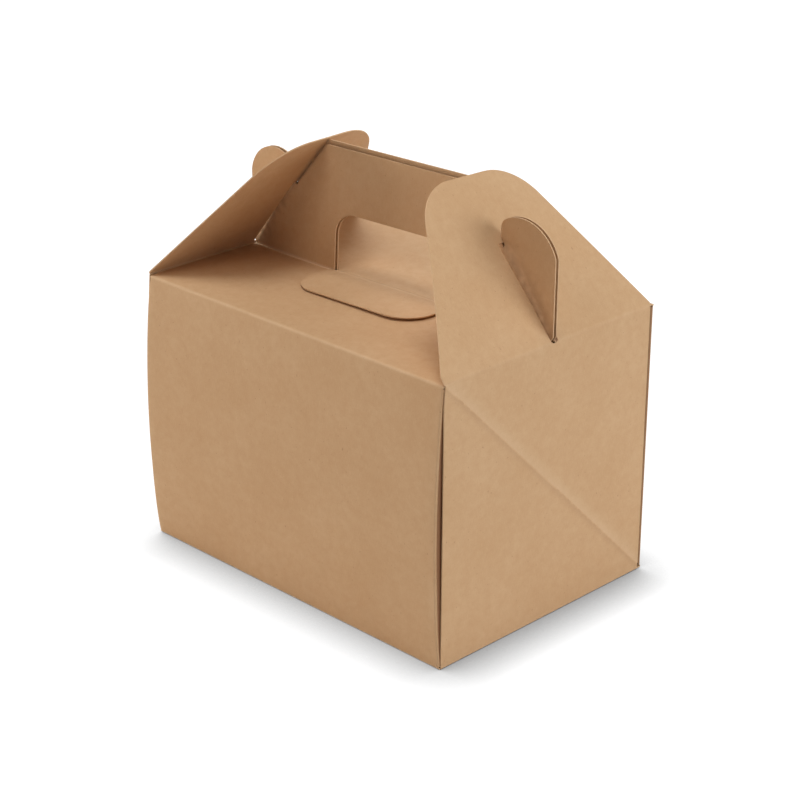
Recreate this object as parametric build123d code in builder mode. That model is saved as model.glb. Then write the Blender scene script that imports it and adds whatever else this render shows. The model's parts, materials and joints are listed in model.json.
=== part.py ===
"""Folded card cake box with a hand hole in its upright handle and two slotted end flaps.

Millimetres. The origin is the middle of the base's underside, X runs along the handle, -Y is the front and Z is up.
The standing box is one folded and glued sheet. Its two end flaps turn about the creases at the end walls' tops.
"""

import math
import os

from build123d import *

# Card
card = 0.45  # thickness of the kraft board
bend = 0.5  # radius of a fold, at the middle of the card
lap_gap = 0.25  # air between two layers that lie on each other
fold_gap = 0.3  # air between an end wall and what is folded in behind it

# Box
length = 150.0
depth = 106.0
height = 105.0
wall_bow = 3.0  # how far the front wall bulges at half its height
end_wall_inset = 0.5  # how much narrower than the box an end wall is, at each side
crease_width = 1.1  # the diagonal crease across an end wall
crease_depth = 0.16

# Flaps inside the end walls
side_flap_depth = 28.0
side_flap_margin = 4.0  # from the side flap to the base and to the roof, at the front wall
side_flap_taper = 9.0
glue_flap_depth = 40.0
glue_flap_margin = 4.0

# Handle, with heights taken from the roof
handle_gap = 0.6  # air between the two handle panels
front_handle_height = 47.0
back_handle_height = 48.5
hole_length = 61.0
hole_height = 23.3
hole_corner = 6.0
tongue_corner = 12.0
tongue_clearance = 0.3
tongue_step = 3.0  # the length over which a tongue steps over or under the other roof

# Ears, one at each end of both handle panels
ear_shoulder = 27.5  # where the ear's upright edge turns into its round top
ear_radius = 13.7
ear_heel_corner = 2.0
notch_height = 28.5
notch_width = 1.0

# End flaps
flap_lean = 38.5  # degrees from upright, when closed
flap_length = 64.0
flap_top_width = 52.0
flap_corner = 21.5
flap_rest_gap = 0.3  # from the closed flap to the handle's sloped edges
slot_end_clearance = 0.5  # from the end of the slot to the furthest swing of the ears
slot_side_clearance = 0.3
crease_hole = 1.4  # radius of the hole where the slot meets the crease
hinge_gap = 0.15  # from the turning edge of the flap to the end wall

# Places that follow from the sizes above
strip_length = length - 2 * (card + fold_gap)
roof_middle = height - card / 2
wall_middle = depth / 2 - card / 2
end_wall_middle = length / 2 - card / 2
panel_middle = handle_gap / 2 + card / 2
hinge_x = end_wall_middle
hinge_z = height + hinge_gap
end_wall_top = hinge_z - card / 2 - hinge_gap
end_wall_width = depth - 2 * end_wall_inset
tongue_length = hole_height - tongue_clearance
tongue_width = hole_length - 2 * tongue_clearance
tongue_drop = card + lap_gap
tongue_root = 2 * tongue_step
ear_middle = length / 2 - ear_radius


def sloped_edge(rise):
    """Distance from the middle of the box to the handle's sloped edge, at a height above the roof."""
    lean = math.radians(flap_lean)
    flap_middle = hinge_x - (height + rise - hinge_z) * math.tan(lean)
    return flap_middle - (card / 2 + flap_rest_gap) / math.cos(lean)


# The strip that runs up the front, back over the base and up the back: roofs, walls and base in one section
with BuildPart() as strip:
    with BuildSketch(Plane.YZ.offset(-strip_length / 2)):
        with BuildLine() as strip_path:
            fold_top = height + tongue_step
            Polyline((-panel_middle, fold_top), (-panel_middle, roof_middle), (-wall_middle, roof_middle))
            ThreePointArc(
                (-wall_middle, roof_middle),
                (-wall_middle - wall_bow, height / 2),
                (-wall_middle, card / 2),
            )
            Polyline(
                (-wall_middle, card / 2),
                (wall_middle, card / 2),
                (wall_middle, roof_middle),
                (panel_middle, roof_middle),
                (panel_middle, fold_top),
            )
            folds = strip_path.vertices().filter_by(lambda corner: corner.Y < fold_top - bend)
            fillet(folds, radius=bend)
        trace(line_width=card)
    extrude(amount=strip_length)


def handle_panel(back_face, rise):
    """One handle panel: sloped ends, an ear beyond each, and the notch between them that the flap drops into."""
    panel_plane = Plane(origin=(0, back_face, height), x_dir=(1, 0, 0), z_dir=(0, -1, 0))
    fold_end = bend - card / 2
    notch_x = sloped_edge(notch_height)
    heel_x = notch_x + notch_width
    heel = (heel_x, ear_shoulder + math.sqrt(ear_radius**2 - (ear_middle - heel_x) ** 2))
    with BuildPart() as panel:
        with BuildSketch(panel_plane) as outline:
            with BuildLine():
                Polyline((0, fold_end), (length / 2, fold_end), (length / 2, ear_shoulder))
                ThreePointArc((length / 2, ear_shoulder), (ear_middle, ear_shoulder + ear_radius), heel)
                Polyline(
                    heel,
                    (heel_x, notch_height),
                    (notch_x, notch_height),
                    (sloped_edge(rise), rise),
                    (0, rise),
                    (0, fold_end),
                )
            make_face()
            fillet(outline.vertices().sort_by_distance(heel)[0], ear_heel_corner)
            mirror(about=Plane.YZ)
        extrude(amount=card)
    return panel.part


# Both handle panels on the strip, with the hand hole cut through them and through their folds
with BuildPart() as sleeve:
    add(strip.part)
    add(handle_panel(-handle_gap / 2, front_handle_height))
    add(handle_panel(handle_gap / 2 + card, back_handle_height))
    with BuildSketch(Plane.XZ.offset(-tongue_step / 2)) as hand_hole:
        with Locations((0, height - card)):
            Rectangle(hole_length, hole_height + card, align=(Align.CENTER, Align.MIN))
        fillet(hand_hole.vertices().group_by(Axis.Y)[-1], hole_corner)
    extrude(amount=tongue_step, mode=Mode.SUBTRACT)


def tongue(route):
    """The card cut from one hand hole, along a route across the box that starts in its own roof."""
    with BuildPart() as strap:
        with BuildSketch(Plane.YZ.offset(-tongue_width / 2)):
            with BuildLine():
                FilletPolyline(*route, radius=tongue_step / 2)
            trace(line_width=card)
        extrude(amount=tongue_width)
        tip_y = route[-1][0]
        tip = strap.edges().filter_by(Axis.Z).sort_by(lambda edge: abs(edge.center().Y - tip_y))[:2]
        fillet(tip, tongue_corner)
    return strap.part


# The back roof's tongue lies on the front roof, and the front roof's tongue lies under the back roof
with BuildPart() as tongues:
    add(
        tongue(
            [
                (tongue_root, roof_middle),
                (tongue_step / 2, roof_middle),
                (-tongue_step / 2, roof_middle + tongue_drop),
                (-tongue_length, roof_middle + tongue_drop),
            ]
        )
    )
    add(
        tongue(
            [
                (-tongue_root, roof_middle),
                (-tongue_step / 2, roof_middle),
                (tongue_step / 2, roof_middle - tongue_drop),
                (tongue_length, roof_middle - tongue_drop),
            ]
        )
    )

# Both end walls, folded up from the base, each with its diagonal crease and the hole at the flap's slot
with BuildPart() as end_walls:
    with BuildSketch(Plane.XZ.offset(-end_wall_width / 2)):
        with BuildLine():
            FilletPolyline(
                (-end_wall_middle, end_wall_top),
                (-end_wall_middle, card / 2),
                (end_wall_middle, card / 2),
                (end_wall_middle, end_wall_top),
                radius=bend,
            )
        trace(line_width=card)
    extrude(amount=end_wall_width)
    with BuildSketch(Plane.YZ.offset(-length / 2)):
        with Locations((0, end_wall_top)):
            Circle(crease_hole)
    extrude(amount=length, mode=Mode.SUBTRACT)
    for side in (-1, 1):
        crease_start = Vector(side * length / 2, -depth / 2, height)
        crease_end = Vector(side * length / 2, depth / 2, 0)
        crease_run = crease_end - crease_start
        crease_plane = Plane(origin=crease_start, x_dir=(side, 0, 0), z_dir=crease_run.normalized())
        with BuildSketch(crease_plane):
            with BuildLine():
                Polyline(
                    (-crease_depth, 0),
                    (crease_depth, crease_width),
                    (crease_depth, -crease_width),
                    close=True,
                )
            make_face()
        extrude(amount=crease_run.length, mode=Mode.SUBTRACT)

# Side flaps of the front wall, tucked behind the end walls: they follow the wall's bulge
with BuildPart() as side_flaps:
    with BuildSketch(Plane.YZ.offset(strip_length / 2 - card)):
        with BuildLine():
            ThreePointArc(
                (-wall_middle, roof_middle),
                (-wall_middle - wall_bow, height / 2),
                (-wall_middle, card / 2),
            )
            Line((-wall_middle, card / 2), (-wall_middle, roof_middle))
        make_face()
        flap_low = side_flap_margin
        flap_high = height - side_flap_margin
        with BuildLine():
            Polyline(
                (-wall_middle, flap_low),
                (-wall_middle + side_flap_depth, flap_low + side_flap_taper),
                (-wall_middle + side_flap_depth, flap_high - side_flap_taper),
                (-wall_middle, flap_high),
                close=True,
            )
        make_face()
        with Locations((-wall_middle, height / 2)):
            Rectangle(2 * side_flap_depth, height - 2 * side_flap_margin, mode=Mode.INTERSECT)
    extrude(amount=card)
    mirror(about=Plane.YZ)

# Glue flaps of the back wall, glued inside the end walls above the diagonal crease
with BuildPart() as glue_flaps:
    with BuildSketch(Plane.YZ.offset(length / 2 - 2 * card)):
        diagonal_slope = height / depth
        glue_front = wall_middle - glue_flap_depth
        glue_high = height - glue_flap_margin
        with BuildLine():
            Polyline(
                (wall_middle, glue_flap_margin),
                (wall_middle, glue_high),
                (glue_front, glue_high),
                (glue_front, glue_flap_margin + diagonal_slope * glue_flap_depth),
                close=True,
            )
        make_face()
    extrude(amount=card)
    mirror(about=Plane.YZ)

with BuildPart() as folded_box:
    add(sleeve.part)
    add(tongues.part)
    add(end_walls.part)
    add(side_flaps.part)
    add(glue_flaps.part)

# The right end flap, closed against the handle's sloped edges, with its slot round the ears
flap_run = math.radians(flap_lean)
flap_plane = Plane(
    origin=(hinge_x, 0, hinge_z),
    x_dir=(0, 1, 0),
    z_dir=(math.cos(flap_run), 0, math.sin(flap_run)),
)
ear_reach = math.hypot(hinge_x - ear_middle, height + ear_shoulder - hinge_z) + ear_radius
slot_length = ear_reach + slot_end_clearance
slot_width = handle_gap + 2 * card + 2 * slot_side_clearance

with BuildPart() as right_end_flap:
    with BuildSketch(flap_plane.offset(-card / 2)) as flap_outline:
        with BuildLine():
            Polyline(
                (-end_wall_width / 2, 0),
                (end_wall_width / 2, 0),
                (flap_top_width / 2, flap_length),
                (-flap_top_width / 2, flap_length),
                close=True,
            )
        make_face()
        fillet(flap_outline.vertices().group_by(Axis.Y)[-1], flap_corner)
    extrude(amount=card)
    with BuildSketch(Plane.XZ.offset(-end_wall_width / 2)):
        with Locations((hinge_x, hinge_z)):
            Circle(card / 2)
    extrude(amount=end_wall_width)
    with BuildSketch(flap_plane.offset(-card)):
        with Locations((0, -card)):
            Rectangle(slot_width, slot_length + card, align=(Align.CENTER, Align.MIN))
    extrude(amount=2 * card, mode=Mode.SUBTRACT)

with BuildPart() as left_end_flap:
    mirror(right_end_flap.part, about=Plane.YZ)

folded_box.part.label = "folded_box"
right_end_flap.part.label = "right_end_flap"
left_end_flap.part.label = "left_end_flap"

os.makedirs("parts", exist_ok=True)
export_step(folded_box.part, "parts/folded_box.step")
export_step(right_end_flap.part, "parts/right_end_flap.step")
export_step(left_end_flap.part, "parts/left_end_flap.step")
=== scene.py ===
"""Folded kraft cake box with a hand hole in its upright handle and two slotted end flaps, in a white studio.

The box is one folded sheet of card, each end wall and its flap are another, and the two tongues are small
ones. Each sheet is drawn flat in millimetres, cut into a fine grid, folded and bulged into place, and given
the card's thickness.
"""

import json
import math

import bmesh
import bpy
import numpy as np
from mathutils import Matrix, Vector
from mathutils.geometry import tessellate_polygon


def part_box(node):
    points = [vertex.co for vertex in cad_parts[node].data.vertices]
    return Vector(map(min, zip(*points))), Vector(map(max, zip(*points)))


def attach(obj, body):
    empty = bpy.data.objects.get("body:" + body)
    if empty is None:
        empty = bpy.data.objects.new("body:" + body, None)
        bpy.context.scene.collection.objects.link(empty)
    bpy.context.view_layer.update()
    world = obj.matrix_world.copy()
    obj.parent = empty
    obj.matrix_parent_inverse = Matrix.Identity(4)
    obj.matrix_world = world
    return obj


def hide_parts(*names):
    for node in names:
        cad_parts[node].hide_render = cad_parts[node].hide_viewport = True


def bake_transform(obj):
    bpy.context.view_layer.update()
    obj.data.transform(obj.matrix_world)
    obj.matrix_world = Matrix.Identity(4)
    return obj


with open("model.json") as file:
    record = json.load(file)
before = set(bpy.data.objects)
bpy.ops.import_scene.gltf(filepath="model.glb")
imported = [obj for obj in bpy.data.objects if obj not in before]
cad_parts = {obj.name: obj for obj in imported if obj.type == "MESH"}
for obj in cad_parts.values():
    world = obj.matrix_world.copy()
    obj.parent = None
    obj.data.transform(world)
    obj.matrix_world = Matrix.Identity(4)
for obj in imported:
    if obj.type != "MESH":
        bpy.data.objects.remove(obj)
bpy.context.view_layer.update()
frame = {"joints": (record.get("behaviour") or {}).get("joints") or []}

MM = 0.001
joints = {joint["name"]: joint for joint in frame["joints"]}
_, box_high = (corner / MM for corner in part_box("folded_box"))

# The box, from the frame
half_length = box_high.x
half_depth = box_high.y
crease_x = joints["right_flap_crease"]["pos_m"][0] / MM
crease_z = joints["right_flap_crease"]["pos_m"][2] / MM

# Card
card = 0.45  # thickness of the kraft board
bend = 0.5  # radius of a fold

# The sheets' meshes
grid = 3.0  # distance between their lines
arc_steps = 6  # pieces of a fold's arc
fold_half = 1.6  # how far the close lines at a crease reach, to each side
fold_steps = 8  # and how many there are, on each side
fold_side = 1.2  # from a fold of the box to the mesh line on each side of it
end_mesh_foot = 1.5  # height at which an end wall's even lines start
end_mesh_gap = 2.0  # from its crease to the even lines on each side
ridge_lines = (-6, -4, -2.6, -1.6, -0.8, 0, 0.8, 1.6, 2.6, 4, 6)  # lines beside the diagonal crease
sliver = 0.04  # points that are closer than this become one
on_line = 1e-5  # how near to a cutting line a point counts as on it
not_zero = 1e-6  # the least that a length is divided by
parallel = 1e-3  # sine of the angle up to which an edge counts as along a cutting line
sharp_angle = 40  # between two faces, in degrees, from which their edge is sharp

# Parts of the folded box, as seen from a place on it
wall_slack = 0.01  # how near to a wall's middle surface a place counts as on the wall
wall_fold_slack = 0.6  # and as on the wall or its folds
top_slack = 1.0  # how far below the roofs a place still counts as on top
panel_foot = 0.2  # how far above the roofs it counts as on the handle

# Heights and depths of the card's middle surface
crease_rise = 0.15  # from the roof up to the end flaps' creases
end_wall_inset = 0.5  # from the back wall's face to the end walls' back edges
roof_inset = 0.4  # from the end walls' faces to the roofs' ends
height = crease_z - crease_rise
roof_middle = height - card / 2
wall_middle = half_depth - card / 2
floor_middle = card / 2
end_wall_front = half_depth  # from the middle of the box to the end walls' upright edges
end_wall_back = half_depth - end_wall_inset
roof_half = half_length - roof_inset
panel_middle = 0.75  # from the middle of the box to either handle panel
tab_fold = roof_half - card / 2 - bend  # where the walls' tabs start to turn in

# Bulges
wall_bulge_left = 4.3
wall_bulge_right = 3.2
bulge_peak_left = 0.5  # share of the wall's height at which the left end bulges most
bulge_peak_right = 0.47
bulge_fullness_left = 0.65  # below 1, the bulge starts more steeply at the folds
bulge_fullness_right = 0.8
base_out = 0.5  # how far the front wall's foot stands out
base_out_rise = 30.0  # and the height at which that has faded away
front_drop = 0.4  # how far the roof falls to its front edge
back_out = 2.0  # how far the back wall stands out at its right end
roof_sag = 0.35
roof_sag_fall = 1.5  # how much the sag falls off towards the box's ends, in radians of a cosine
end_wall_ridge = 0.45  # how far the diagonal crease stands out from the end wall's corners
ridge_half = 30.0  # how far the ridge's slopes reach, to each side
ridge_crest = 0.32  # how much sharper it is in its last few millimetres
ridge_crest_half = 2.6
ridge_fullness = 0.6  # below 1, the ridge stays high nearer to its ends

# Handle
front_rise = 47.0
back_rise = 48.5
foot_end = -0.2  # how far the handle's foot stands back at its left end
foot_front = -1.15  # left of the hand hole, where it snakes to the front
foot_front_from = -58.0  # places along the handle between which it does
foot_front_to = -36.0
foot_right = 1.1  # and on its right half
foot_right_from = 20.0
top_back_left = -0.6  # how far the handle's top stands back at the left ear
top_back_left_to = -60.0
top_back_most = 4.1
top_back_most_from = 30.0
top_back_most_to = 34.0
top_back_right = 1.25
top_back_right_from = 52.0
hole_half = 30.3
hole_rise = 23.0
hole_corner = 9.0
hole_front_cut = 0.5  # how far the front panel's hole is cut on into its roof

# Ears
ear_inset = 0.1  # from the end walls' faces to the ears' outer edges
ear_outer = half_length - ear_inset
ear_follows = 0.8  # share of the end wall's lean outwards that its ears follow
ear_foot = 2.0  # height at which an ear's upright edge turns in to the roof
ear_foot_inset = 1.0
heel_x = 50.0
heel_corner = 4.0
heel_arc = 14  # degrees of the ear's round that the rounded heel takes up
notch_rise = 28.6
notch_depth = 0.9

# Tongues
tongue_half = 30.2
tongue_root = 1.1  # how far behind the middle of the handle a tongue starts
tongue_shift = -1.4  # how far the upper tongue has slid to the left
tongue_shift_run = 4.0  # and the length over which it does
tongue_reach = 23.7
tongue_corner = 12.0
tongue_corner_steps = 10
tongue_rise_run = 4.5  # length over which a tongue steps over or under the other roof
tongue_over_gap = 0.5
tongue_under_gap = 0.25
tongue_lift = 0.62  # how far the upper tongue's right corner stands up
tongue_fold = 0.3  # where it bends most

# Ends of the roofs, and tabs inside the end walls
roof_follows = 0.75  # share of the end wall's lean outwards that the roofs' ends follow
roof_end_run = 4.0  # length over which they leave the walls' ends
roof_end_rise = 0.2  # height at which the handle panels' feet meet them
corner_clear = 0.3  # from the walls' upper and lower folds to their full width
tab_clear = 0.8  # and to their tabs
glue_tab_clear = 3.0
side_tab = 28.0  # how far the front wall's tabs reach in
side_tab_taper = 10.0
side_tab_angle = 98.0  # by which they are folded, in degrees
glue_tab = 40.0  # how far the back wall's tabs reach in
glue_tab_angle = 125.0

# End walls and the flaps above them
flap_base_half = 52.8
flap_turn = 1.8  # radius of a flap's crease
crease_step = 0.4  # from the crease down to the end wall's corners, and up to the flap's
corner_in = 0.7  # how far the end wall's upper front corner stands in
corner_in_run = 8.0  # and the height over which it does
diagonal_foot = 2.2  # height of the diagonal crease's lower end
diagonal_past = 0.2  # how far it runs on past the end wall's back edge
out_power = 1.6  # above 1, an end wall leans out more towards its top
bow_middle = 0.55  # share of a flap's length at which its bow leaves its lean as it is
flap_corner_steps = 16
slot_top_corner = 0.9

right_flap = {
    "side": 1,
    "out": 0.0,  # how far the end wall's top leans out
    "lean": 38.4,  # from upright, at the flap's middle, in degrees
    "twist": 3.8,  # how much more it leans at its back edge
    "bow": -2.5,  # how much more it leans at its crease than at its tip
    "length": 65.1,
    "top_half": 23.8,
    "corner": 22.0,
    "shoulder": 2.75,  # height above the crease at which its front edge starts to taper
    "shoulder_back": 0.8,  # and its back edge
    "pale_wear_and_highlight": 0.15,  # pale mark along its crease, for fibre wear
    "rest": 0.6,  # from the middle of its card in to the front handle panel's slope
    "rest_back": 0.6,  # and to the back panel's
    "slot": 38.85,  # length up the flap to the slot's end
    "slot_near": -0.4,  # the slot's front edge at its foot
    "slot_near_top": -2.65,  # and at its top
    "slot_far": 3.0,  # the slot's back edge
    "slot_foot": -0.3,  # height above the crease at which the slot starts
    "slot_corner": 1.2,
    "ear_middle": 59.4,  # middle of the round of the ears that hook through it, from the middle of the box
    "ear_rise": 24.2,  # and above the roof
    "ear_radius": 16.4,
}
left_flap = {
    "side": -1,
    "out": 1.1,
    "lean": 39.15,
    "twist": -1.1,
    "bow": -0.75,
    "length": 64.4,
    "top_half": 23.3,
    "corner": 23.25,
    "shoulder": 1.2,
    "shoulder_back": 1.2,
    # strong pale mark along its crease: fibre wear with a painted highlight over it
    "pale_wear_and_highlight": 0.9,
    "rest": 1.7,
    "rest_back": 0.3,
    "slot": 38.3,
    "slot_near": -2.2,
    "slot_near_top": -1.9,
    "slot_far": 2.0,
    "slot_foot": 0.5,
    "slot_corner": 1.7,
    "ear_middle": 62.6,
    "ear_rise": 27.2,
    "ear_radius": 13.4,
}

# Marks on the card: above 0 paler, for fibre wear at folds and for painted highlights; below 0 darker, for
# painted shade
fold_band = 0.9  # how far the bruised fibres of a fold reach, to each side
crease_band = 1.0  # and at the flaps' creases and the tongues' roots
fold_mark = 0.6  # where roofs, walls and base meet
foot_mark = 1.7  # at the handle's foot, beside the hand hole
foot_mark_clear = 0.5  # from the hand hole to that mark
upright_mark = 0.25  # at the walls' upright folds
upright_mark_turn = 0.8  # how far round such a fold it lies, in radians
roof_end_painted_highlight = 3.0  # painted highlight on the front roof's cut left end, where light catches it
roof_end_highlight_band = 0.7
front_tab_painted_shade = -2.2  # painted shade where the front wall's tabs turn in, in the crevice behind the end wall's front edge
front_tab_from = 0.5  # how far past the start of their fold the mark starts
front_tab_full = 1.2  # and is full
back_tab_painted_shade = -1.3  # painted shade on the back wall's glue tab, in the strip that shows past the end wall's back edge
back_tab_from = 0.3
back_tab_full = 0.7
shade_out = 6.0  # how far outside a flap the painted shade on the ears beside its slot reaches
shade_out_full = 0.5  # and where it is full
shade_in = -3.0  # the same inside the flap
shade_in_full = -1.0
shade_above = 2.0  # and how far above the notch it reaches
tongue_root_shade = -0.3  # painted shade along a tongue's root
tongue_mark_place = -0.5
diagonal_painted_highlight = 0.48  # painted highlight just above the diagonal crease, where its upper side catches the light
diagonal_painted_highlight_half = 4.5
diagonal_painted_shade = -0.25  # and painted shade just below it
diagonal_painted_shade_half = -3.0
diagonal_painted_shade_full = -0.8
diagonal_edge = -0.1  # where one gives way to the other

EDGE = 1  # material index of the cut edges


# Flat outlines and routes


def rounded(before, corner, after, radius, steps=arc_steps):
    """Points of the arc that rounds a corner between two straight runs."""
    before, corner, after = Vector(before), Vector(corner), Vector(after)
    into, out = (corner - before).normalized(), (after - corner).normalized()
    turn = into.angle(out)
    start = corner - into * radius * math.tan(turn / 2)
    side = (out - into * into.dot(out)).normalized()
    angles = [turn * i / steps for i in range(steps + 1)]
    return [tuple(start + into * radius * math.sin(a) + side * radius * (1 - math.cos(a))) for a in angles]


def arc(centre, radius, start, end, steps=14):
    """Points of an arc, with its angles in degrees."""
    angles = [math.radians(start + (end - start) * i / steps) for i in range(steps + 1)]
    return [(centre[0] + radius * math.cos(a), centre[1] + radius * math.sin(a)) for a in angles]


class Route:
    """A folded run of card seen end on: straight runs between corners that are rounded to the bend radius."""

    def __init__(self, corners):
        points = [Vector(corners[0])]
        first = [0]
        for i in range(1, len(corners) - 1):
            points += [Vector(p) for p in rounded(corners[i - 1], corners[i], corners[i + 1], bend)]
            first.append(len(points) - 1)
        points.append(Vector(corners[-1]))
        steps = [0] + [(b - a).length for a, b in zip(points, points[1:])]
        self.lengths = np.cumsum(steps)
        self.across = np.array([p.x for p in points])
        self.up = np.array([p.y for p in points])
        self.starts = [
            self.lengths[k] - (points[k] - Vector(corner)).length for k, corner in zip(first, corners)
        ]

    def at(self, run, distance):
        """Length along the route of a place on a straight run, measured from the run's first sharp corner."""
        return self.starts[run] + distance

    def points(self, lengths):
        """Places of many lengths along the route."""
        return np.interp(lengths, self.lengths, self.across), np.interp(lengths, self.lengths, self.up)


# Shapes of a change along a distance


def ramp(value, low, high):
    """0 up to low, 1 from high on, and straight in between."""
    return np.clip((value - low) / (high - low), 0, 1)


def smooth(value, low, high):
    """0 up to low, 1 from high on, and smooth in between."""
    share = ramp(value, low, high)
    return share * share * (3 - 2 * share)


def near(distance, reach=fold_band):
    """1 on a crease and 0 beyond its reach, smoothly."""
    return smooth(1 - np.abs(distance) / reach, 0, 1)


# Sheets of card


def cut_flat(outline, holes, lines):
    """A flat mesh of an outline with holes, cut along lines: each is a point and the direction across it."""
    loops = [[Vector((u, v, 0)) for u, v in loop] for loop in [outline, *holes]]
    mesh = bmesh.new()
    verts = [mesh.verts.new(point) for loop in loops for point in loop]
    for triangle in tessellate_polygon(loops):
        mesh.faces.new([verts[i] for i in triangle])
    for point, across in lines:
        everything = mesh.verts[:] + mesh.edges[:] + mesh.faces[:]
        bmesh.ops.bisect_plane(mesh, geom=everything, dist=on_line, plane_co=point, plane_no=across)
    directions = {(round(-a.y, 4), round(a.x, 4)) for _, a in lines}
    stray = []
    for edge in mesh.edges:
        run = (edge.verts[1].co - edge.verts[0].co).normalized()
        along_line = any(abs(run.x * dy - run.y * dx) < parallel for dx, dy in directions)
        if len(edge.link_faces) == 2 and not along_line:
            stray.append(edge)
    bmesh.ops.dissolve_edges(mesh, edges=stray, use_verts=False, use_face_split=False)
    bmesh.ops.remove_doubles(mesh, verts=mesh.verts[:], dist=sliver)
    bmesh.ops.recalc_face_normals(mesh, faces=mesh.faces[:])
    return mesh


def lines_across(values, direction):
    """Cutting lines at given distances along a direction."""
    return [(Vector(direction) * value, Vector(direction)) for value in values]


def even(start, end):
    """Even steps of about the grid size from start to end."""
    return list(np.linspace(start, end, max(2, round(abs(end - start) / grid) + 1)))


def fold_lines(middle):
    """Closely spaced places round a crease."""
    return [middle + fold_half * i / fold_steps for i in range(-fold_steps, fold_steps + 1)]


def card_sheet(name, flat, place, wear_and_painted_light, materials):
    """The piece made from a flat mesh: placed by flat coordinates, marked with its fold wear and its painted
    highlights and shade, and thickened.
    """
    mesh = bpy.data.meshes.new(name)
    flat.to_mesh(mesh)
    flat.free()
    count = len(mesh.vertices)
    uv = np.empty(count * 3)
    mesh.vertices.foreach_get("co", uv)
    u, v = uv.reshape(-1, 3)[:, 0], uv.reshape(-1, 3)[:, 1]
    mesh.vertices.foreach_set("co", (np.stack(place(u, v), 1) * MM).ravel())
    mesh.attributes.new("flat", "FLOAT_VECTOR", "POINT").data.foreach_set("vector", uv)
    # The crease mark holds fibre wear at folds, painted highlights above 0 and painted shade below 0
    mesh.attributes.new("crease", "FLOAT", "POINT").data.foreach_set("value", wear_and_painted_light(u, v))
    for material in materials:
        mesh.materials.append(material)
    piece = bpy.data.objects.new(name, mesh)
    bpy.context.scene.collection.objects.link(piece)
    thicken = piece.modifiers.new("Card", "SOLIDIFY")
    thicken.thickness = card * MM
    thicken.offset = 0
    thicken.material_offset_rim = EDGE
    evaluated = piece.evaluated_get(bpy.context.evaluated_depsgraph_get())
    final = bpy.data.meshes.new_from_object(evaluated)
    piece.modifiers.clear()
    piece.data = final
    bpy.data.meshes.remove(mesh)
    final.name = name
    final.polygons.foreach_set("use_smooth", [True] * len(final.polygons))
    final.set_sharp_from_angle(angle=math.radians(sharp_angle))
    return piece


# The sheet of the box


def handle_wave(x, rise):
    """How far the handle stands behind its straight place: its foot snakes, and its top right leans back."""
    foot = foot_end + (foot_front - foot_end) * smooth(x, -half_length, foot_front_from)
    foot = foot + (foot_right - foot_front) * smooth(x, foot_front_to, foot_right_from)
    top = top_back_left + (top_back_most - top_back_left) * ramp(x, top_back_left_to, top_back_most_from)
    top = top - (top_back_most - top_back_right) * ramp(x, top_back_most_to, top_back_right_from)
    share = ramp(rise, 0, front_rise)
    return foot * (1 - share) + top * share


def wall_bulge(x, z):
    """How far the front wall bulges to the front."""
    right = ramp(x, -half_length, half_length)
    peak = bulge_peak_left + (bulge_peak_right - bulge_peak_left) * right
    most = wall_bulge_left + (wall_bulge_right - wall_bulge_left) * right
    level = np.clip(z / height, 0, 1)
    fullness = bulge_fullness_left + (bulge_fullness_right - bulge_fullness_left) * right
    return most * np.sin(math.pi * level ** (math.log(0.5) / np.log(peak))) ** fullness


def sagged(x, share):
    """How far a roof sags at a share of its way from the handle to the wall."""
    return roof_sag * np.sin(math.pi * share) * np.cos(x / half_length * roof_sag_fall)


def turned(past, angle):
    """How far along and how far inward a place lies that is, in the flat, a distance past a fold's start."""
    swing = np.clip(past / bend, 0, angle)
    straight = np.maximum(past - bend * angle, 0)
    along = bend * np.sin(swing) + straight * np.cos(angle)
    inward = bend * (1 - np.cos(swing)) + straight * np.sin(angle)
    return along, inward


box_route = Route(
    [
        (-panel_middle, height + front_rise),
        (-panel_middle, roof_middle),
        (-wall_middle, roof_middle),
        (-wall_middle, floor_middle),
        (wall_middle, floor_middle),
        (wall_middle, roof_middle),
        (panel_middle, roof_middle),
        (panel_middle, height + back_rise),
    ]
)
FRONT_PANEL, FRONT_ROOF, FRONT_WALL, BASE, BACK_WALL, BACK_ROOF, BACK_PANEL = range(7)


def place_box(u, v):
    """The box's sheet from flat to folded."""
    y, z = box_route.points(v)
    on_wall = np.abs(y) > wall_middle - wall_slack
    on_front = y < -wall_middle + wall_fold_slack
    on_top = z > height - top_slack
    on_roof = on_top & (z < height + panel_foot)

    past = np.where(on_wall, np.abs(u) - tab_fold, -1.0)
    angle = np.radians(np.where(y < 0, side_tab_angle, glue_tab_angle))
    along, inward = turned(np.maximum(past, 0), angle)
    x = np.sign(u) * np.where(past > 0, tab_fold + along, np.abs(u))
    inside = np.where(past > 0, inward, 0)

    share = np.clip(np.abs(y) / wall_middle, 0, 1)
    behind = np.where(on_top, handle_wave(x, np.maximum(z - height, 0)) * (1 - share), 0)
    behind = behind + np.where(y > 0, back_out * smooth(x, 0, half_length) * share**2, 0)
    sag = np.where(on_roof, sagged(x, share), 0)
    sag = sag + np.where(y < 0, front_drop * share**3 * np.clip(z / height, 0, 1), 0)
    bulge = np.where(on_front, wall_bulge(x, z), 0)
    bulge = bulge + np.where(y < 0, base_out * share**2 * (1 - ramp(z, 0, base_out_rise)), 0)
    return x, y - np.sign(y) * inside - bulge + behind, z - sag


def beside(flap, rise, offset):
    """Distance from the middle of the box to a line along the closed flap, a little way out from its card."""
    share = rise / (flap["length"] * math.cos(math.radians(flap["lean"])))
    lean = np.radians(flap["lean"] + flap["bow"] * (bow_middle - share))
    return crease_x + flap["out"] - (height + rise - crease_z) * np.tan(lean) + offset / np.cos(lean)


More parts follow.
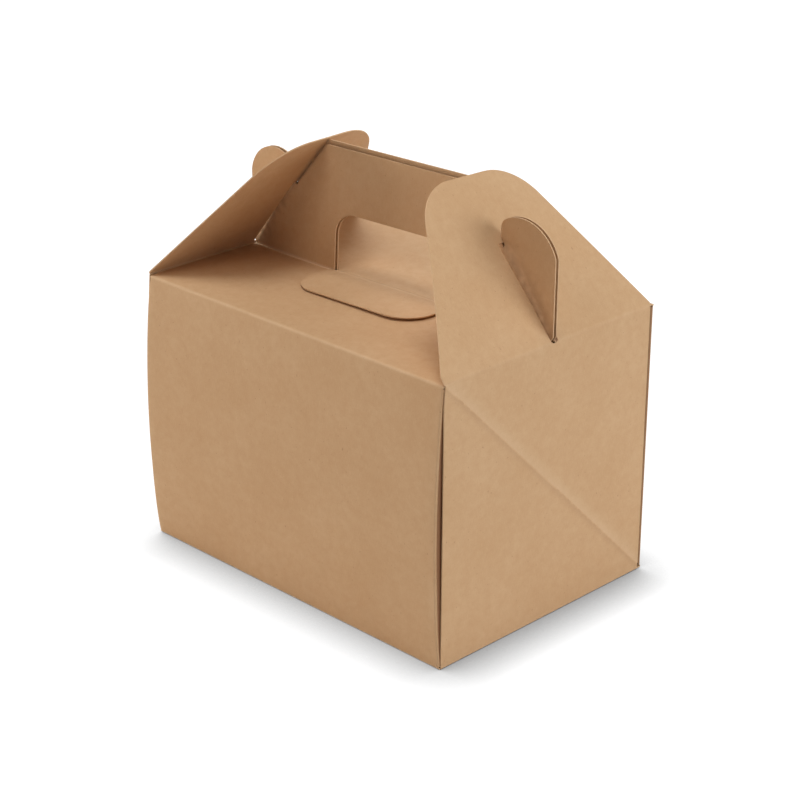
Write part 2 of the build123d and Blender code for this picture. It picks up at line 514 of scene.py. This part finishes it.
def handle_side(flap, rise, panel):
    """One end of a handle panel from its top down to the roof, as flat points: slope, notch, ear and foot."""
    inner = -flap["rest" if panel == FRONT_PANEL else "rest_back"]
    outer = card
    middle, ear_rise, ear_radius = flap["ear_middle"], flap["ear_rise"], flap["ear_radius"]
    heel, end = (place + flap["out"] * ear_follows for place in (heel_x, ear_outer))
    hook_rise = notch_rise + (beside(flap, notch_rise, outer) - heel) / math.tan(math.radians(flap["lean"]))
    first, last = (math.degrees(math.acos((x - middle) / ear_radius)) for x in (heel, end))
    arc_start = (heel, ear_rise + ear_radius * math.sin(math.radians(first)))
    ear = arc((middle, ear_rise), ear_radius, first - heel_arc, last)
    notch_end = notch_rise + notch_depth
    shape = [(beside(flap, rise, inner), rise), (beside(flap, notch_rise, inner), notch_rise)]
    shape += [(beside(flap, notch_end, outer), notch_end), (heel, hook_rise)]
    shape += rounded(shape[-1], arc_start, ear[0], heel_corner)
    shape += ear
    shape += [(end, ear_foot), (roof_half - ear_foot_inset, roof_end_rise)]
    shape.append((roof_half + flap["out"] * roof_follows, roof_end_rise))
    points = []
    for x, level in shape:
        if panel == FRONT_PANEL:
            points.append((x, box_route.at(FRONT_PANEL, rise - level)))
        else:
            points.append((x, box_route.at(BACK_PANEL, level + card / 2)))
    return points


def box_side(flap):
    """One end of the box's flat outline, from the top of the front handle panel to that of the back one."""
    at = box_route.at
    roof_end = roof_half + flap["out"] * roof_follows
    tab_start = roof_half - card / 2
    tip = tab_fold + bend * math.pi / 2 + side_tab
    glue_tip = tab_fold + bend * math.pi / 2 + glue_tab
    drop = roof_middle - floor_middle
    diagonal = height / (2 * half_depth)
    points = handle_side(flap, front_rise, FRONT_PANEL)
    points += [
        (roof_end, at(FRONT_WALL, -roof_end_run)),
        (roof_half, at(FRONT_WALL, corner_clear)),
        (tab_start, at(FRONT_WALL, tab_clear)),
        (tip, at(FRONT_WALL, tab_clear + side_tab_taper)),
        (tip, at(FRONT_WALL, drop - tab_clear - side_tab_taper)),
        (tab_start, at(FRONT_WALL, drop - tab_clear)),
        (roof_half, at(FRONT_WALL, drop - corner_clear)),
        (roof_half, at(BACK_WALL, corner_clear)),
        (tab_start, at(BACK_WALL, tab_clear)),
        (glue_tip, at(BACK_WALL, glue_tab_clear + glue_tab * diagonal)),
        (glue_tip, at(BACK_WALL, drop - glue_tab_clear)),
        (tab_start, at(BACK_WALL, drop - tab_clear)),
        (roof_half, at(BACK_WALL, drop - corner_clear)),
        (roof_end, at(BACK_ROOF, roof_end_run)),
    ]
    points += reversed(handle_side(flap, back_rise, BACK_PANEL))
    return points


def hand_hole(panel):
    """The hole in one handle panel, down to its fold, as flat points."""
    corners = [(-hole_half, 0), (-hole_half, hole_rise), (hole_half, hole_rise), (hole_half, 0)]
    shape = [corners[0], *rounded(*corners[:3], hole_corner), *rounded(*corners[1:], hole_corner), corners[3]]
    if panel == FRONT_PANEL:
        foot = box_route.at(FRONT_ROOF, hole_front_cut)
        return [(x, box_route.at(FRONT_PANEL, front_rise - level) if level else foot) for x, level in shape]
    foot = box_route.at(BACK_ROOF, wall_middle - tongue_root)
    return [(x, box_route.at(BACK_PANEL, level) if level else foot) for x, level in shape]


def slot_painted_shade(u, v):
    """Painted shade on the ears where they come out of the flaps' slots: 1 there, and 0 a few millimetres
    away.
    """
    front_level, back_level = front_rise - v, v - box_route.at(BACK_PANEL, 0)
    rise = np.where(front_level > 0, front_level, back_level)
    gap = np.abs(u) - np.where(u > 0, beside(right_flap, rise, card), beside(left_flap, rise, card))
    beside_slot = (rise > 0) & (rise < notch_rise + shade_above)
    return ramp(gap, shade_out, shade_out_full) * ramp(gap, shade_in, shade_in_full) * beside_slot


def box_wear_and_painted_light(u, v):
    """How the box's sheet is marked: paler for fibre wear at its folds and for a painted highlight at the
    front roof's left end, darker for painted shade on the tabs and beside the slots.
    """
    y, _ = box_route.points(v)
    on_wall = np.abs(y) > wall_middle - wall_slack
    turned_in = np.abs(u) - tab_fold

    def at_folds(runs):
        return np.max([near(v - box_route.at(run, 0)) for run in runs], axis=0)

    folds = at_folds((FRONT_WALL, BASE, BACK_WALL, BACK_ROOF)) * fold_mark
    foot = at_folds((FRONT_ROOF, BACK_PANEL)) * (np.abs(u) > hole_half + foot_mark_clear) * foot_mark
    upright = near(turned_in - bend * upright_mark_turn) * on_wall * upright_mark
    on_front_roof = np.abs(v - box_route.at(FRONT_ROOF, wall_middle / 2)) < wall_middle / 2
    from_roof_end = u + roof_half + left_flap["out"] * roof_follows
    # Painted highlight along the front roof's cut left end, beside the left flap
    roof_end = near(from_roof_end, roof_end_highlight_band) * on_front_roof * roof_end_painted_highlight
    # Painted shade on the walls' tabs where they turn in, in the crevices beside the end walls
    front_tab = front_tab_painted_shade * ramp(turned_in, front_tab_from, front_tab_full)
    back_tab = back_tab_painted_shade * ramp(turned_in, back_tab_from, back_tab_full)
    tabs = np.where(y < 0, front_tab, back_tab) * on_wall
    return np.maximum.reduce([folds, foot, upright, roof_end]) + tabs - slot_painted_shade(u, v)


def make_box(materials):
    """Handle, roofs, walls, base and tabs in one folded sheet."""
    right, left = box_side(right_flap), box_side(left_flap)
    outline = right + [(-u, v) for u, v in reversed(left)]
    holes = [hand_hole(FRONT_PANEL), hand_hole(BACK_PANEL)]
    fold_us = [tab_fold + bend * math.radians(glue_tab_angle) * i / arc_steps for i in range(arc_steps + 1)]
    tab_us = even(fold_us[-1], fold_us[-1] + glue_tab)
    us = even(-tab_fold, tab_fold) + [sign * place for sign in (-1, 1) for place in fold_us + tab_us[1:]]
    vs = list(box_route.lengths)
    for start, end in zip(box_route.lengths, box_route.lengths[1:]):
        if end - start > grid:
            vs += even(start, end)[1:-1]
    for run in range(FRONT_ROOF, BACK_PANEL + 1):
        vs += [box_route.at(run, 0) + step for step in (-fold_side, fold_side)]
    lines = lines_across(sorted(us), (1, 0, 0)) + lines_across(sorted(vs), (0, 1, 0))
    piece = card_sheet("box_sheet", cut_flat(outline, holes, lines), place_box, box_wear_and_painted_light, materials)
    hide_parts("folded_box")
    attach(piece, "box")
    return piece


# Tongues


def make_tongue(name, from_side, materials):
    """The card cut from one hand hole: it passes through the handle and lies on or under the other roof."""
    over = from_side > 0
    step = card + tongue_over_gap if over else -card - tongue_under_gap
    right, tip, left = (tongue_half, tongue_reach), (0, tongue_reach), (-tongue_half, tongue_reach)
    outline = [(-tongue_half, -tongue_root), (tongue_half, -tongue_root)]
    outline += rounded((tongue_half, 0), right, tip, tongue_corner, tongue_corner_steps)
    outline += rounded(tip, left, (-tongue_half, 0), tongue_corner, tongue_corner_steps)

    def place(u, v):
        u = u + (tongue_shift * ramp(v, 0, tongue_shift_run) if over else 0)
        share = np.abs(v) / wall_middle
        rise = step * smooth(v, -tongue_root, tongue_rise_run - tongue_root)
        lift = tongue_lift * ramp(v, 0, tongue_reach) ** 2 * (0.5 + 0.5 * u / tongue_half) if over else 0
        y = -from_side * v + handle_wave(u, 0) * (1 - share)
        return u, y, roof_middle + rise + lift - sagged(u, share)

    # Painted shade along the tongue's root
    def wear_and_painted_light(u, v):
        return tongue_root_shade * near(v - tongue_mark_place, crease_band)

    lines = lines_across(even(-tongue_half, tongue_half), (1, 0, 0))
    lines += lines_across(fold_lines(tongue_fold) + even(grid, tongue_reach), (0, 1, 0))
    piece = card_sheet(name, cut_flat(outline, [], lines), place, wear_and_painted_light, materials)
    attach(piece, "box")
    return piece


# End walls with their flaps

end_route = Route([(roof_half, floor_middle), (crease_x, floor_middle), (crease_x, crease_z)])
END_WALL = 1
crease_v = end_route.at(END_WALL, crease_z - floor_middle)

# The diagonal crease, in the flat
diagonal_start = Vector((-end_wall_front + corner_in, crease_v - crease_step, 0))
diagonal_end = Vector((end_wall_back + diagonal_past, end_route.at(END_WALL, diagonal_foot), 0))
diagonal_run = (diagonal_end - diagonal_start).normalized()
diagonal_across = Vector((-diagonal_run.y, diagonal_run.x, 0))


def from_diagonal(u, v):
    """Distance from the diagonal crease, above 0 on its upper side."""
    return (u - diagonal_start.x) * diagonal_across.x + (v - diagonal_start.y) * diagonal_across.y


def flap_places(flap):
    """Along the sheet: the length of the crease's turn, where it starts and where the flap's tip is."""
    turn = flap_turn * math.radians(flap["lean"])
    start = crease_v - turn / 2
    return turn, start, start + flap["length"]


def end_outline(flap):
    """The end wall and the flap above it, as flat points."""
    _, _, tip_v = flap_places(flap)
    front_edge = [(-end_wall_front, 0), (-end_wall_front, crease_v - corner_in_run), tuple(diagonal_start.xy)]
    front_edge += [(-flap_base_half, crease_v + crease_step), (-flap_base_half, crease_v + flap["shoulder"])]
    back_edge = [(end_wall_back, 0), (end_wall_back, crease_v - crease_step)]
    back_edge.append((flap_base_half, crease_v + crease_step))
    back_edge.append((flap_base_half, crease_v + flap["shoulder_back"]))
    top_back, top_front = (flap["top_half"], tip_v), (-flap["top_half"], tip_v)
    back_corner = rounded(back_edge[-1], top_back, top_front, flap["corner"], flap_corner_steps)
    front_corner = rounded(top_back, top_front, front_edge[-1], flap["corner"], flap_corner_steps)
    return back_edge + back_corner + front_corner + front_edge[::-1]


def flap_slot(flap):
    """The slot that the ears hook through, as flat points."""
    _, flap_v, _ = flap_places(flap)
    start, end = crease_v + flap["slot_foot"], flap_v + flap["slot"]
    near_foot, far_foot = (flap["slot_near"], start), (flap["slot_far"], start)
    far_top, near_top = (flap["slot_far"], end), (flap["slot_near_top"], end)
    return [
        *rounded(near_top, near_foot, far_foot, flap["slot_corner"]),
        *rounded(near_foot, far_foot, far_top, flap["slot_corner"]),
        *rounded(far_foot, far_top, near_top, slot_top_corner),
        *rounded(far_top, near_top, near_foot, slot_top_corner),
    ]


def flap_lean(flap, y, past):
    """Lean from upright, in radians, of the straight line from the crease to a place on the flap."""
    share = past / flap["length"]
    lean = flap["lean"] + flap["twist"] * y / half_depth + flap["bow"] * (bow_middle - share)
    return np.radians(lean)


def place_end(flap, u, v):
    """An end sheet from flat to folded: the wall with its ridge, then the flap that leans in from it."""
    turn, flap_v, _ = flap_places(flap)
    on_wall = v < flap_v
    x, z = end_route.points(np.minimum(v, end_route.lengths[-1]))
    past = np.maximum(v - flap_v, 0)
    lean = flap_lean(flap, u, past)
    beyond_turn = lean * (1 - turn / (2 * np.maximum(past, not_zero)))
    chord = np.where(past > turn, beyond_turn, lean * past / (2 * turn))
    z = np.where(on_wall, z, crease_z - turn / 2 + past * np.cos(chord))
    x = np.where(on_wall, x, crease_x - past * np.sin(chord))
    x = x + flap["out"] * ramp(v, 0, flap_v) ** out_power

    gap = np.abs(from_diagonal(u, v))
    level = np.clip(v / crease_v, 0, 1)
    ridge = end_wall_ridge * np.exp(-gap / ridge_half) + ridge_crest * np.exp(-gap / ridge_crest_half)
    x = x + np.where(on_wall, ridge * np.sin(math.pi * level) ** ridge_fullness, 0)
    return flap["side"] * x, u, z


def end_wear_and_painted_light(flap, u, v):
    """How an end sheet is marked: fibre wear at its folds, painted highlight and shade beside its diagonal
    crease, and a pale mark along its flap's crease.
    """
    gap = from_diagonal(u, v)
    # Painted highlight above the diagonal crease and painted shade below it, on the wall only
    above = diagonal_painted_highlight * ramp(gap, diagonal_painted_highlight_half, 0)
    below = diagonal_painted_shade * ramp(gap, diagonal_painted_shade_half, diagonal_painted_shade_full)
    diagonal = np.where(gap > diagonal_edge, above, below) * (v < crease_v)
    # Pale mark along the flap's crease: fibre wear, and on the left flap a painted highlight
    crease = near(v - crease_v, crease_band) * flap["pale_wear_and_highlight"]
    return diagonal + np.maximum(crease, near(v - end_route.at(END_WALL, 0)) * fold_mark)


def make_end(name, flap, materials):
    """An end wall, folded up from the base, and the flap above it, in one sheet."""
    _, _, tip_v = flap_places(flap)
    vs = list(end_route.lengths[:-1]) + even(end_route.at(END_WALL, end_mesh_foot), crease_v - end_mesh_gap)
    vs += fold_lines(crease_v) + even(crease_v + end_mesh_gap, tip_v)
    lines = lines_across(even(-end_wall_front, end_wall_back), (1, 0, 0)) + lines_across(vs, (0, 1, 0))
    lines += [(diagonal_start + diagonal_across * step, diagonal_across) for step in ridge_lines]
    piece = card_sheet(
        name,
        cut_flat(end_outline(flap), [flap_slot(flap)], lines),
        lambda u, v: place_end(flap, u, v),
        lambda u, v: end_wear_and_painted_light(flap, u, v),
        materials,
    )
    word = "right" if flap["side"] > 0 else "left"
    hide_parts(f"{word}_end_flap")
    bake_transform(piece)
    return piece


# Materials


class Nodes:
    """Adds linked nodes to a material with few words."""

    def __init__(self, name):
        """A new material with its shader."""
        self.material = bpy.data.materials.new(name)
        self.material.use_nodes = True
        self.tree = self.material.node_tree
        self.shader = self.tree.nodes["Principled BSDF"]

    def add(self, kind, inputs=None, **settings):
        """A node with its settings, and its inputs linked or set."""
        node = self.tree.nodes.new("ShaderNode" + kind)
        for key, value in settings.items():
            setattr(node, key, value)
        for key, value in (inputs or {}).items():
            self.put(node.inputs[key], value)
        return node

    def put(self, socket, value):
        """Links an output to a socket, or sets a constant on it."""
        if isinstance(value, bpy.types.NodeSocket):
            self.tree.links.new(value, socket)
        else:
            socket.default_value = value

    def attribute(self, name, output):
        """A value that is stored on the piece's points."""
        return self.add("Attribute", attribute_name=name, attribute_type="GEOMETRY").outputs[output]

    def noise(self, vector, scale, detail=3.0, roughness=0.55):
        """Noise over the flat card, with its scale per millimetre."""
        inputs = {"Vector": vector, "Scale": scale, "Detail": detail, "Roughness": roughness}
        return self.add("TexNoise", inputs).outputs["Fac"]

    def math(self, operation, a, b=0.0, clamp=False):
        """One sum of two values."""
        node = self.add("Math", {0: a, 1: b}, operation=operation, use_clamp=clamp)
        return node.outputs[0]

    def spread(self, value, low, high, to_low=0.0, to_high=1.0):
        """A value mapped from one range to another, and kept inside it."""
        inputs = {"Value": value, "From Min": low, "From Max": high, "To Min": to_low, "To Max": to_high}
        return self.add("MapRange", inputs, clamp=True).outputs[0]

    def scaled(self, vector, scale):
        """Places stretched along their axes."""
        return self.add("Mapping", {"Vector": vector, "Scale": scale}).outputs[0]

    def mixed(self, share, a, b):
        """A share of the way from one colour to another."""
        node = self.add("Mix", data_type="RGBA")
        self.put(node.inputs[0], share)
        self.put(node.inputs[6], a)
        self.put(node.inputs[7], b)
        return node.outputs[2]


def linear(red, green, blue):
    """A colour written as 0 to 255 display values."""

    def one(value):
        value /= 255
        return value / 12.92 if value <= 0.04045 else ((value + 0.055) / 1.055) ** 2.4

    return (one(red), one(green), one(blue), 1.0)


# Colours
kraft = linear(205, 165, 124)
kraft_deep = linear(201, 160, 118)
kraft_light = linear(208, 169, 128)
pulp_dark = linear(196, 153, 111)
fibre_pale = linear(218, 182, 143)
fibre_dark = linear(186, 141, 100)
fleck_dark = linear(152, 104, 64)
# Pale colour of fibre wear at folds, also used for painted highlights
wear_and_highlight_pale = linear(229, 198, 162)
# Dark colour of painted shade
painted_shade_dark = linear(112, 68, 40)
cut_pale = linear(216, 180, 141)
white = (1.0, 1.0, 1.0, 1.0)
floor_white = (0.96, 0.96, 0.96, 1.0)  # what the floor throws back at the box
floor_seen = (0.08, 0.08, 0.08, 1.0)  # what is seen of the lamps' light and shadow on it, beside its own glow

wear_and_highlight_share = 0.55  # how much of the pale colour, for fibre wear and painted highlights, a mark of 1 gives
painted_shade_share = -0.45  # and how much of the dark colour of painted shade a mark of -1 gives
board_gloss = 0.15  # specular level of the board
board_rough_low = 0.7  # and its roughness, over the pulp's clouds
board_rough_high = 0.84
bump_strength = 0.35
bump_depth = 0.00008  # in metres


def kraft_card(name, cut_edge=False):
    """Uncoated kraft board: cloudy pulp, fibres and dark flecks, paler where its folds show fibre wear, and
    painted lighter or darker by its marks for highlights and shade.
    """
    nodes = Nodes(name)
    flat = nodes.attribute("flat", "Vector")
    # Above 0: fibre wear at folds and painted highlights; below 0: painted shade
    crease = nodes.attribute("crease", "Fac")

    cloud = nodes.noise(flat, 0.035, 2.0)
    pulp = nodes.noise(flat, 0.28, 4.0, 0.6)
    grain = nodes.noise(flat, 2.4, 3.0, 0.7)
    long_fibres = nodes.noise(nodes.scaled(flat, (3.2, 0.45, 1.0)), 1.0, 3.0, 0.6)
    cross_fibres = nodes.noise(nodes.scaled(flat, (0.6, 2.6, 1.0)), 1.0, 3.0, 0.6)
    fleck = nodes.noise(nodes.scaled(flat, (1.3, 0.75, 1.0)), 1.0, 1.0, 0.4)

    colour = nodes.mixed(nodes.spread(cloud, 0.3, 0.7), kraft_deep, kraft_light)
    colour = nodes.mixed(nodes.spread(pulp, 0.35, 0.7, 0.0, 0.5), colour, pulp_dark)
    colour = nodes.mixed(nodes.spread(long_fibres, 0.5, 0.8, 0.0, 0.45), colour, fibre_pale)
    colour = nodes.mixed(nodes.spread(cross_fibres, 0.52, 0.8, 0.0, 0.35), colour, fibre_dark)
    colour = nodes.mixed(nodes.spread(fleck, 0.73, 0.8, 0.0, 0.5), colour, fleck_dark)
    colour = nodes.mixed(nodes.spread(grain, 0.35, 0.75, 0.0, 0.3), colour, kraft)
    # Paler for fibre wear and painted highlights, darker for painted shade
    pale_wear_and_highlight = nodes.math("MULTIPLY", crease, nodes.spread(grain, 0.25, 0.6, 0.45, 1.0))
    colour = nodes.mixed(nodes.math("MULTIPLY", pale_wear_and_highlight, wear_and_highlight_share, clamp=True), colour, wear_and_highlight_pale)
    colour = nodes.mixed(nodes.math("MULTIPLY", crease, painted_shade_share, clamp=True), colour, painted_shade_dark)
    if cut_edge:
        colour = nodes.mixed(0.5, colour, cut_pale)
    nodes.put(nodes.shader.inputs["Base Color"], colour)
    rough = nodes.spread(pulp, 0.3, 0.7, board_rough_low, board_rough_high)
    nodes.put(nodes.shader.inputs["Roughness"], rough)
    nodes.shader.inputs["Specular IOR Level"].default_value = board_gloss

    relief = nodes.math("ADD", nodes.math("MULTIPLY", long_fibres, 0.5), nodes.math("MULTIPLY", grain, 0.35))
    relief = nodes.math("ADD", relief, nodes.math("MULTIPLY", cross_fibres, 0.4))
    bump = nodes.add("Bump", {"Strength": bump_strength, "Distance": bump_depth, "Height": relief})
    nodes.put(nodes.shader.inputs["Normal"], bump.outputs["Normal"])
    return nodes.material


# Stage

floor_half = 3.0
floor_drop = 0.0001  # from the box's foot down to the floor
seen_glow = 1.05  # how much of the floor's white is its own glow, for what is seen of it
painted_shadow_reach = 0.021  # width of the soft shadow painted into the floor's glow round the box's foot, in metres
painted_shadow_side = (-0.42, 0.05, 0.906)  # direction that the painted shadow is open to: it is wider on the right
room_light = 0.1  # strength of the light from all round
room_seen = 1.0  # and of the white that is seen there
light_aim = Vector((0, 0, 0.06))
camera_place = (0.5110, -0.5113, 0.3688)
camera_lens = 95.76
camera_sensor = 36
camera_yaw = 44.86  # to the left of straight on, in degrees
camera_pitch = 23.02  # down
camera_roll = 0.17
small_lamp = 0.5  # side of a square lamp, in metres
large_lamp = 0.9
cool = (0.95, 1.01, 1.07)  # colour of both large lamps
SEEN_RAYS = ("Is Camera Ray", "Is Glossy Ray", "Is Transmission Ray")


def any_seen_ray(tree):
    """1 for rays that show the background to the camera, straight or by a reflection, and 0 for others."""
    path = tree.nodes.new("ShaderNodeLightPath")
    seen = path.outputs[SEEN_RAYS[0]]
    for kind in SEEN_RAYS[1:]:
        either = tree.nodes.new("ShaderNodeMath")
        either.operation = "MAXIMUM"
        tree.links.new(seen, either.inputs[0])
        tree.links.new(path.outputs[kind], either.inputs[1])
        seen = either.outputs[0]
    return seen


def studio_floor():
    """A white floor that keeps a little of the lamps' light and shadow and is seen as white glow elsewhere,
    with a soft shadow round the box's foot painted into that glow.
    """
    nodes = Nodes("studio_floor")
    nodes.shader.inputs["Roughness"].default_value = 0.9
    nodes.shader.inputs["Specular IOR Level"].default_value = 0.0
    seen = any_seen_ray(nodes.tree)
    nodes.put(nodes.shader.inputs["Base Color"], nodes.mixed(seen, floor_white, floor_seen))
    side = nodes.add("CombineXYZ", dict(zip("XYZ", painted_shadow_side))).outputs[0]
    # Painted shadow: ambient occlusion dims the floor's glow round the box's foot
    painted_shadow = nodes.add("AmbientOcclusion", {"Distance": painted_shadow_reach, "Normal": side}, samples=8)
    nodes.shader.inputs["Emission Color"].default_value = white
    glow = nodes.math("MULTIPLY", painted_shadow.outputs["AO"], seen_glow)
    nodes.put(nodes.shader.inputs["Emission Strength"], nodes.math("MULTIPLY", seen, glow))
    return nodes.material


def make_floor():
    """A large floor just under the box."""
    mesh = bpy.data.meshes.new("floor")
    corners = [(x * floor_half, y * floor_half, 0) for x, y in ((-1, -1), (1, -1), (1, 1), (-1, 1))]
    mesh.from_pydata(corners, [], [(0, 1, 2, 3)])
    mesh.materials.append(studio_floor())
    floor = bpy.data.objects.new("floor", mesh)
    floor.location.z = -floor_drop
    bpy.context.scene.collection.objects.link(floor)


def make_world():
    """Soft even light from all round, seen as white."""
    world = bpy.data.worlds.new("studio")
    bpy.context.scene.world = world
    world.use_nodes = True
    tree = world.node_tree
    background = tree.nodes["Background"]
    strength = tree.nodes.new("ShaderNodeMapRange")
    tree.links.new(any_seen_ray(tree), strength.inputs["Value"])
    strength.inputs["To Min"].default_value = room_light
    strength.inputs["To Max"].default_value = room_seen
    background.inputs["Color"].default_value = white
    tree.links.new(strength.outputs[0], background.inputs["Strength"])


def add_light(name, place, size, power, colour=(1, 1, 1)):
    """A soft square light that faces the box."""
    data = bpy.data.lights.new(name, "AREA")
    data.size = size
    data.energy = power
    data.color = colour
    light = bpy.data.objects.new(name, data)
    light.location = place
    aim = light_aim - Vector(place)
    light.rotation_euler = aim.to_track_quat("-Z", "Y").to_euler()
    bpy.context.scene.collection.objects.link(light)


def make_camera():
    """The photograph's view: over the front right corner, looking down."""
    data = bpy.data.cameras.new("camera")
    data.lens = camera_lens
    data.sensor_width = camera_sensor
    camera = bpy.data.objects.new("camera", data)
    yaw, pitch, roll = (math.radians(a) for a in (camera_yaw, camera_pitch, camera_roll))
    forward = Vector((-math.sin(yaw) * math.cos(pitch), math.cos(yaw) * math.cos(pitch), -math.sin(pitch)))
    camera.rotation_euler = forward.to_track_quat("-Z", "Y").to_euler()
    camera.rotation_euler.rotate_axis("Z", roll)
    camera.location = camera_place
    bpy.context.scene.collection.objects.link(camera)
    bpy.context.scene.camera = camera


board = [kraft_card("kraft_board"), kraft_card("kraft_board_edge", cut_edge=True)]
make_box(board)
make_tongue("tongue_over_front_roof", 1, board)
make_tongue("tongue_under_back_roof", -1, board)
make_end("right_end_sheet", right_flap, board)
make_end("left_end_sheet", left_flap, board)

make_floor()
make_world()
add_light("left_low", (-1.1, -0.6, 0.12), small_lamp, 7.7, (1.01, 1.01, 0.98))
add_light("left_back", (-0.8, 0.8, 0.8), small_lamp, 4.39, (0.92, 1.0, 1.08))
add_light("left_high", (-0.8, 0, 1.0), small_lamp, 1.56)
add_light("right_low_back", (1.1, 0.5, 0.12), large_lamp, 5.2, cool)
add_light("right_back", (1.0, 0.8, 0.35), large_lamp, 5.8, cool)
add_light("right_front", (1.05, -0.5, 0.3), small_lamp, 0.78)
add_light("top", (0, 0, 1.2), small_lamp, 5.75, (0.96, 1.01, 1.04))
add_light("front_high", (0, -0.9, 0.9), small_lamp, 2.24, (1.08, 0.97, 0.91))
make_camera()
bpy.context.scene.view_settings.view_transform = "Standard"
